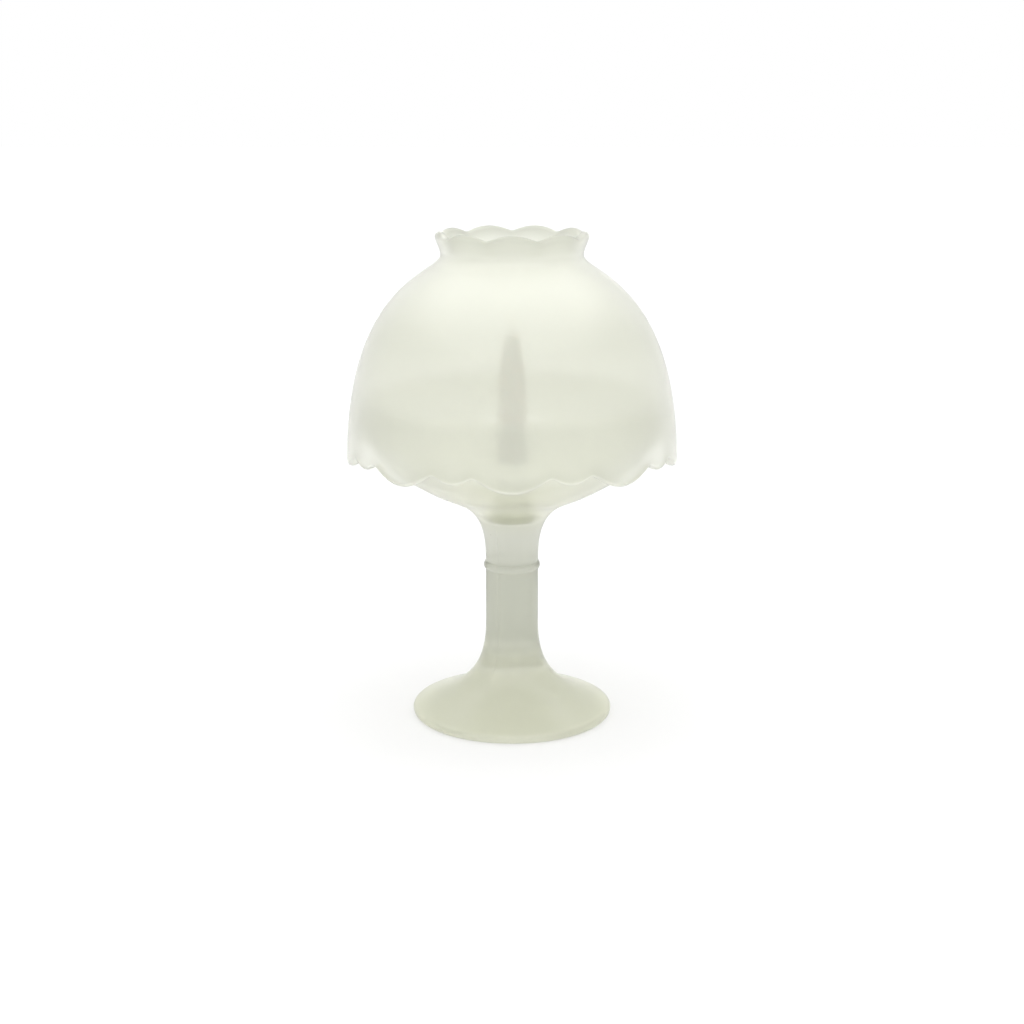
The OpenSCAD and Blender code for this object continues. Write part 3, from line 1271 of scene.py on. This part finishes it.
    def bead(self) -> Path:
        """Draw the bead on the stem, with a fine groove above and below it.

        Returns:
            The points from the lower groove to the upper one.
        """
        half = self.bead_h / 2
        middle = self.bowl_z() - self.bead_drop
        radius = (half * half + self.bead_proud * self.bead_proud) / (2 * self.bead_proud)
        half_angle = math.degrees(math.asin(half / radius))
        centre = (self.stem_r + self.bead_proud - radius, middle)
        bow = arc(centre, radius, -half_angle, half_angle, self.short_steps)
        groove_r = self.stem_r - self.groove_depth
        groove_z = self.groove_h * self.groove_middle
        low, high = middle - half, middle + half
        return (
            [(self.stem_r, low - self.groove_h), (groove_r, low - groove_z)]
            + bow
            + [(groove_r, high + groove_z), (self.stem_r, high + self.groove_h)]
        )

    def bowl_outside(self) -> Path:
        """Draw the outside of the bowl.

        Returns:
            The points from the stem to the rim.
        """
        bowl_z = self.bowl_z()
        rim_r = self.reach.radius
        rim_z = self.reach.top - self.wall / 2
        turn = (self.turn_r, bowl_z + self.turn_h)
        slope = math.radians(self.turn_slope)
        run = (math.cos(slope), math.sin(slope))
        back = self.under_fullness * (turn[0] - self.stem_r)
        ahead = self.side_fullness * (rim_r - turn[0])
        under = curve(
            (self.stem_r, bowl_z),
            (self.stem_r, bowl_z + self.under_turn * self.turn_h),
            (turn[0] - back * run[0], turn[1] - back * run[1]),
            turn,
            self.long_steps,
        )
        side = curve(
            turn,
            (turn[0] + ahead * run[0], turn[1] + ahead * run[1]),
            (rim_r, turn[1] + self.side_upright * (rim_z - turn[1])),
            (rim_r, rim_z),
            self.long_steps,
        )
        return under + side[1:]

    def bowl_inside(self, outside: Path) -> Path:
        """Draw the inside of the bowl.

        Args:
            outside: The outside of the bowl.

        Returns:
            The points from the rim down to the middle of the floor.
        """
        wall_path = moved_inward(outside, self.wall)
        floor_z = self.bowl_z() + self.floor_h
        corner = point_at(wall_path, place_at(wall_path, floor_z))
        start = place_at(wall_path, floor_z + self.floor_round)
        side = stretch(wall_path, start, len(wall_path) - 1.0)
        level = (corner[0] - self.floor_round, floor_z)
        turn = round_corner(side[0], corner, level, self.short_steps)
        return side[::-1] + turn[1:] + [(0.0, floor_z)]


@dataclass
class Shade:
    """Domed shade with a scalloped skirt and a flared, scalloped collar."""

    glass: bpy.types.Material
    reach: Envelope
    segments: int = 648
    long_steps: int = 48
    short_steps: int = 14
    edge_steps: int = 6
    # Dome
    wall: float = 3.0
    overrun: float = 2.0
    dome_fullness: float = 0.885
    # Neck and collar
    neck_curve_h: float = 6.0
    neck_r: float = 22.1
    collar_h: float = 7.2
    collar_flare: float = 2.3
    collar_upright: float = 0.33
    collar_open_h: float = 0.5
    collar_open: float = 0.75
    # Lobes of the skirt
    edge_round: float = 1.2
    skirt_repeats: int = 9
    large_share: float = 0.65
    large_drop: float = 4.3
    small_drop: float = 2.1
    notch_rounding: float = 1.5
    skirt_fade_h: float = 14.0
    # Scallops of the lip
    lip_scallops: int = 9
    lip_height: float = 1.6
    lip_rounding: float = 0.5
    # Share of the darker tint, painted light and shade throughout: by height, a paler dome under the
    # collar and darker bands lower down; painted shade inside the collar; and up from the skirt's
    # edge, a painted highlight along the edge with a painted dark line above it
    thick_and_shade_stops: Stops = (
        (84.0, 0.32), (87.0, 0.30), (90.0, 0.25), (92.5, 0.205), (98.0, 0.205), (101.0, 0.22),
        (104.0, 0.15), (106.0, 0.12), (110.0, 0.115), (116.0, 0.205), (124.0, 0.295),
        (128.0, 0.28), (132.0, 0.21), (137.0, 0.155), (141.0, 0.15), (144.5, 0.115),
        (147.0, 0.01), (149.0, 0.0), (150.4, 0.07), (153.0, 0.10), (154.2, 0.22), (155.4, 0.50),
    )
    # Painted shade on the inside of the collar, darker towards the lip
    inner_shade_stops: Stops = ((148.2, 0.0), (150.0, 0.28), (152.6, 0.72), (155.4, 1.0))
    # Painted highlight along the skirt's edge, with a painted dark line just above it
    edge_highlight_stops: Stops = ((0.9, 0.0), (1.3, 0.44), (3.0, 0.32))

    def build(self, trees: ShapeTrees) -> None:
        """Build the shade and seat it.

        Args:
            trees: Geometry trees.
        """
        path = self.section()
        # Painted light and shade on the shade, by height and at its edges
        solid = [self.thick_and_shade_share(r, z) for r, z in path]
        bottom, top = self.reach.bottom, self.reach.top
        piece = grow_piece(
            draw_section("satin_shade", path, True, {Mark.SOLID: solid}),
            trees.scalloped_shade,
            {
                "Segments": self.segments,
                "Skirt repeats": self.skirt_repeats,
                "Large share": self.large_share,
                "Large drop": self.large_drop * MM,
                "Small drop": self.small_drop * MM,
                "Notch rounding": self.notch_rounding * MM,
                "Skirt bottom": bottom * MM,
                "Skirt fade": (bottom + self.skirt_fade_h) * MM,
                "Lip scallops": self.lip_scallops,
                "Lip height": self.lip_height * MM,
                "Lip rounding": self.lip_rounding * MM,
                "Lip fade": (top - self.collar_h) * MM,
                "Lip top": top * MM,
                "Material": self.glass,
            },
        )
        settle(piece, Body.SHADE, "shade")

    def thick_and_shade_share(self, r: float, z: float) -> float:
        """Find the share of the darker tint at a point of the section, which paints light and shade.

        Args:
            r: Radius of the point.
            z: Height of the point.

        Returns:
            The share, which is less along the skirt's edge for a painted highlight and more inside
            the collar for painted shade.
        """
        rise = z - self.reach.bottom
        if rise < self.edge_highlight_stops[-1][0]:
            return value_at(self.edge_highlight_stops, rise)
        in_collar = r < self.neck_r and z > self.reach.top - self.collar_h
        return value_at(self.inner_shade_stops if in_collar else self.thick_and_shade_stops, z)

    def section(self) -> Path:
        """Draw the closed section of the wall.

        Returns:
            The points round the wall, with a soft skirt edge and a round lip.
        """
        outside = self.outside()
        inside = moved_inward(outside, self.wall)
        middle = moved_inward(outside, self.wall / 2)
        end = place_at(middle, self.reach.top - self.wall / 2)
        bottom = self.reach.bottom
        soft_z = bottom + self.edge_round
        outer = stretch(outside, place_at(outside, soft_z), end)
        inner = stretch(inside, place_at(inside, soft_z), end)
        inner_r, outer_r = inner[0][0], outer[0][0]
        inner_edge = round_corner(
            inner[0], (inner_r, bottom), (inner_r + self.edge_round, bottom), self.edge_steps
        )
        outer_edge = round_corner(
            (outer_r - self.edge_round, bottom), (outer_r, bottom), outer[0], self.edge_steps
        )
        lip = self.lip(outer[-1], inner[-1])
        return inner_edge[1:] + outer_edge[:-1] + outer + lip + inner[::-1]

    def outside(self) -> Path:
        """Draw the outside: skirt and dome in one sweep, then the flared collar.

        Returns:
            The points, which run past both ends of the finished wall.
        """
        shade_r = self.reach.radius
        bottom, top = self.reach.bottom, self.reach.top
        neck_z = top - self.collar_h
        lip_r = self.neck_r + self.collar_flare
        open_r = self.neck_r + self.collar_open * self.collar_flare
        dome = curve(
            (shade_r, bottom - self.overrun),
            (shade_r, bottom + self.dome_fullness * (neck_z - bottom)),
            (self.neck_r, neck_z - self.neck_curve_h),
            (self.neck_r, neck_z),
            self.long_steps,
        )
        collar = curve(
            (self.neck_r, neck_z),
            (self.neck_r, neck_z + self.collar_upright * self.collar_h),
            (open_r, neck_z + self.collar_open_h * self.collar_h),
            (lip_r, top + self.overrun),
            self.short_steps,
        )
        return dome + collar[1:]

    def lip(self, outer_end: Point, inner_end: Point) -> Path:
        """Round the lip.

        Args:
            outer_end: End of the outside.
            inner_end: End of the inside.

        Returns:
            The points between both ends, without them.
        """
        centre = between(outer_end, inner_end, 0.5)
        start = math.degrees(math.atan2(outer_end[1] - centre[1], outer_end[0] - centre[0]))
        radius = math.dist(centre, outer_end)
        return arc(centre, radius, start, start + 180, 2 * self.edge_steps)[1:-1]


@dataclass
class CandleCup:
    """Small glass cup that stands in the well of the bowl and holds the candle."""

    glass: bpy.types.Material
    reach: Envelope
    segments: int = 96
    long_steps: int = 24
    short_steps: int = 8
    foot_r: float = 7.2
    foot_h: float = 2.4
    waist_r: float = 4.2
    socket_r: float = 4.8
    socket_h: float = 12.0
    socket_wall: float = 1.6
    socket_lip: float = 0.9
    socket_lip_h: float = 2.7
    edge_round: float = 0.5
    # Painted shadow on the cup's foot: it takes the darker tint up to these heights, then fades to
    # clear
    thick_and_shade_stops: Stops = ((66.8, 1.0), (68.0, 0.0))

    def build(self, trees: ShapeTrees) -> None:
        """Build the cup and seat it.

        Args:
            trees: Geometry trees.
        """
        path = self.section()
        # Painted shadow on the cup's foot
        solid = [value_at(self.thick_and_shade_stops, z) for r, z in path]
        piece = grow_piece(
            draw_section("glass_candle_cup", path, False, {Mark.SOLID: solid}),
            trees.turned_piece,
            NO_SEAMS | {"Segments": self.segments, "Material": self.glass},
        )
        settle(piece, Body.CANDLE_CUP, "candle_cup")

    def section(self) -> Path:
        """Draw the section.

        Returns:
            The points from the middle of the foot up to the lip and down into the socket.
        """
        bottom, top = self.reach.bottom, self.reach.top
        foot_r, socket_r, soft = self.foot_r, self.socket_r, self.edge_round
        out_r = socket_r + self.socket_wall
        lip_r = out_r + self.socket_lip
        socket_z = top - self.socket_h
        neck_z = socket_z - self.socket_wall
        foot_z = bottom + self.foot_h
        # The handles' radius that brings the middle of the cubic curve to the waist
        pull = (8 * self.waist_r - foot_r - out_r) / 6
        third = (neck_z - foot_z) / 3
        waist = curve(
            (foot_r, foot_z), (pull, foot_z + third), (pull, neck_z - third), (out_r, neck_z),
            self.long_steps,
        )
        flare = curve(
            (out_r, top - self.socket_lip_h),
            (out_r, top - self.socket_lip),
            (lip_r, top - self.socket_lip),
            (lip_r, top - soft),
            self.short_steps,
        )
        foot_edge, lip_out, lip_in, well = (
            round_corner(start, corner, end, self.short_steps)
            for start, corner, end in (
                ((foot_r - soft, bottom), (foot_r, bottom), (foot_r, bottom + soft)),
                ((lip_r, top - soft), (lip_r, top), (lip_r - soft, top)),
                ((socket_r + soft, top), (socket_r, top), (socket_r, top - soft)),
                ((socket_r, socket_z + soft), (socket_r, socket_z), (socket_r - soft, socket_z)),
            )
        )
        start = [(0.0, bottom)]
        return start + foot_edge + waist + flare + lip_out[1:] + lip_in + well + [(0.0, socket_z)]


@dataclass
class Candle:
    """Slim taper candle with a braided wick."""

    wax: bpy.types.Material
    cotton: bpy.types.Material
    reach: Envelope
    wick_reach: Envelope
    segments: int = 72
    long_steps: int = 28
    short_steps: int = 6
    # Wax
    taper_l: float = 24.0
    top_r: float = 1.7
    taper_fullness: float = 0.5
    tip_h: float = 0.125
    tip_w: float = 0.36
    wick_gap: float = 0.05
    edge_round: float = 0.4
    dimple: float = 0.25
    # Wick
    strands: int = 3
    strand_r: float = 0.29
    strand_sides: int = 8
    swing: float = 0.43
    swing_depth: float = 0.21
    pitch: float = 3.2
    rings_per_pitch: int = 20

    def build(self, trees: ShapeTrees) -> None:
        """Build the candle and its wick and seat them.

        Args:
            trees: Geometry trees.
        """
        candle = grow_piece(
            draw_section("taper_candle", self.section(), True, {}),
            trees.turned_piece,
            NO_SEAMS | {"Segments": self.segments, "Material": self.wax},
        )
        settle(candle, Body.CANDLE, "candle")
        length = self.wick_reach.top - self.wick_reach.bottom
        wick = grow_piece(
            add_object("braided_wick", bpy.data.meshes.new("braided_wick")),
            trees.braid,
            {
                "Bottom": self.wick_reach.bottom * MM,
                "Length": length * MM,
                "Strands": self.strands,
                "Rings": int(length / self.pitch * self.rings_per_pitch),
                "Pitch": self.pitch * MM,
                "Swing": self.swing * MM,
                "Depth": self.swing_depth * MM,
                "Strand radius": self.strand_r * MM,
                "Strand sides": self.strand_sides,
                "Material": self.cotton,
            },
        )
        settle(wick, Body.CANDLE, "wick")

    def section(self) -> Path:
        """Draw the closed section of the wax round the wick's hole.

        Returns:
            The points from the hole's foot out, up the taper and back into the dimple.
        """
        r, bottom, top = self.reach.radius, self.reach.bottom, self.reach.top
        hole_r = self.wick_reach.radius + self.wick_gap
        soft = self.edge_round
        foot = round_corner((r - soft, bottom), (r, bottom), (r, bottom + soft), self.short_steps)
        taper = curve(
            (r, top - self.taper_l),
            (r, top - (1 - self.taper_fullness) * self.taper_l),
            (self.top_r + self.tip_w * (r - self.top_r), top - self.tip_h * self.taper_l),
            (self.top_r, top),
            self.long_steps,
        )
        rim = (self.top_r - soft, top)
        return [(hole_r, bottom)] + foot + taper + [rim, (hole_r, top - self.dimple)]


@dataclass
class Studio:
    """White table, soft light and the camera at the photograph's place."""

    camera_place: Place = (0.0, -528.0, 196.0)
    camera_pitch: float = 13.78
    lens: float = 59.9
    sensor: float = 36.0
    nearest_seen: float = 10.0
    floor_half: float = 6000.0
    floor_drop: float = 0.05
    floor_colour: Rgba = (0.50, 0.50, 0.50, 1.0)
    floor_roughness: float = 0.9
    floor_glow: float = 0.36
    fill_strength: float = 0.6
    # Angle of the lamp from straight above, angle it spans in the sky, and its level on white
    lamp_tilt: float = 3.0
    lamp_spread: float = 100.0
    lamp_level: float = 0.9

    def build(self) -> None:
        """Set up the view, the camera, the floor and the light."""
        bpy.context.scene.view_settings.view_transform = "Standard"
        self.place_camera()
        self.lay_floor()
        self.light_world()
        self.hang_lamp()

    def place_camera(self) -> None:
        """Stand the camera where the photograph was taken from."""
        data = bpy.data.cameras.new("camera")
        data.lens = self.lens
        data.sensor_width = self.sensor
        data.clip_start = self.nearest_seen * MM
        camera = add_object("camera", data)
        camera.location = [x * MM for x in self.camera_place]
        camera.rotation_euler = (math.radians(90 - self.camera_pitch), 0.0, 0.0)
        bpy.context.scene.camera = camera

    def lay_floor(self) -> None:
        """Lay a white light table under the lamp, half lit and half glowing."""
        half = self.floor_half * MM
        z = -self.floor_drop * MM
        mesh = bpy.data.meshes.new("table_top")
        corners = [(-half, -half, z), (half, -half, z), (half, half, z), (-half, half, z)]
        mesh.from_pydata(corners, [], [(0, 1, 2, 3)])
        surface = Surface("white table")
        surface.dress({
            "Base Color": self.floor_colour,
            "Roughness": self.floor_roughness,
            "Specular IOR Level": 0.0,
            "Emission Color": WHITE,
            "Emission Strength": self.floor_glow,
        })
        mesh.materials.append(surface.material)
        add_object("table_top", mesh)

    def light_world(self) -> None:
        """Make the surroundings white where they are seen, and a soft fill elsewhere."""
        world = bpy.data.worlds.new("white room")
        world.use_nodes = True
        bpy.context.scene.world = world
        maker = TreeMaker(world.node_tree)
        ray = maker.node("ShaderNodeLightPath").outputs
        mirrored = maker.math("MAXIMUM", ray["Is Glossy Ray"], ray["Is Transmission Ray"])
        seen = maker.math("MAXIMUM", ray["Is Camera Ray"], mirrored)
        strength = maker.ramp(seen, self.fill_strength, 1.0)
        maker.feed(world.node_tree.nodes["Background"], {"Color": WHITE, "Strength": strength})

    def hang_lamp(self) -> None:
        """Hang a very soft, far lamp that lights the table evenly."""
        data = bpy.data.lights.new("top light", "SUN")
        data.angle = math.radians(self.lamp_spread)
        data.energy = math.pi * self.lamp_level
        lamp = add_object("top light", data)
        lamp.rotation_euler = (math.radians(self.lamp_tilt), 0.0, 0.0)


def main() -> None:
    """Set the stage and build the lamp's pieces in order."""
    logging.basicConfig(level=logging.INFO, format="%(name)s: %(message)s")
    Studio().build()
    trees = ShapeTrees()
    groups = SurfaceGroups()
    satin = SATIN_GLASS.material(groups)
    cup_glass = CUP_GLASS.material(groups)
    wax = IVORY_WAX.material(groups)
    cotton = WICK_COTTON.material(groups)
    Goblet(satin, Envelope.of_node("goblet")).build(trees)
    Shade(satin, Envelope.of_node("shade")).build(trees)
    CandleCup(cup_glass, Envelope.of_node("candle_cup")).build(trees)
    Candle(wax, cotton, Envelope.of_node("candle"), Envelope.of_node("wick")).build(trees)


if __name__ == "__main__":
    main()
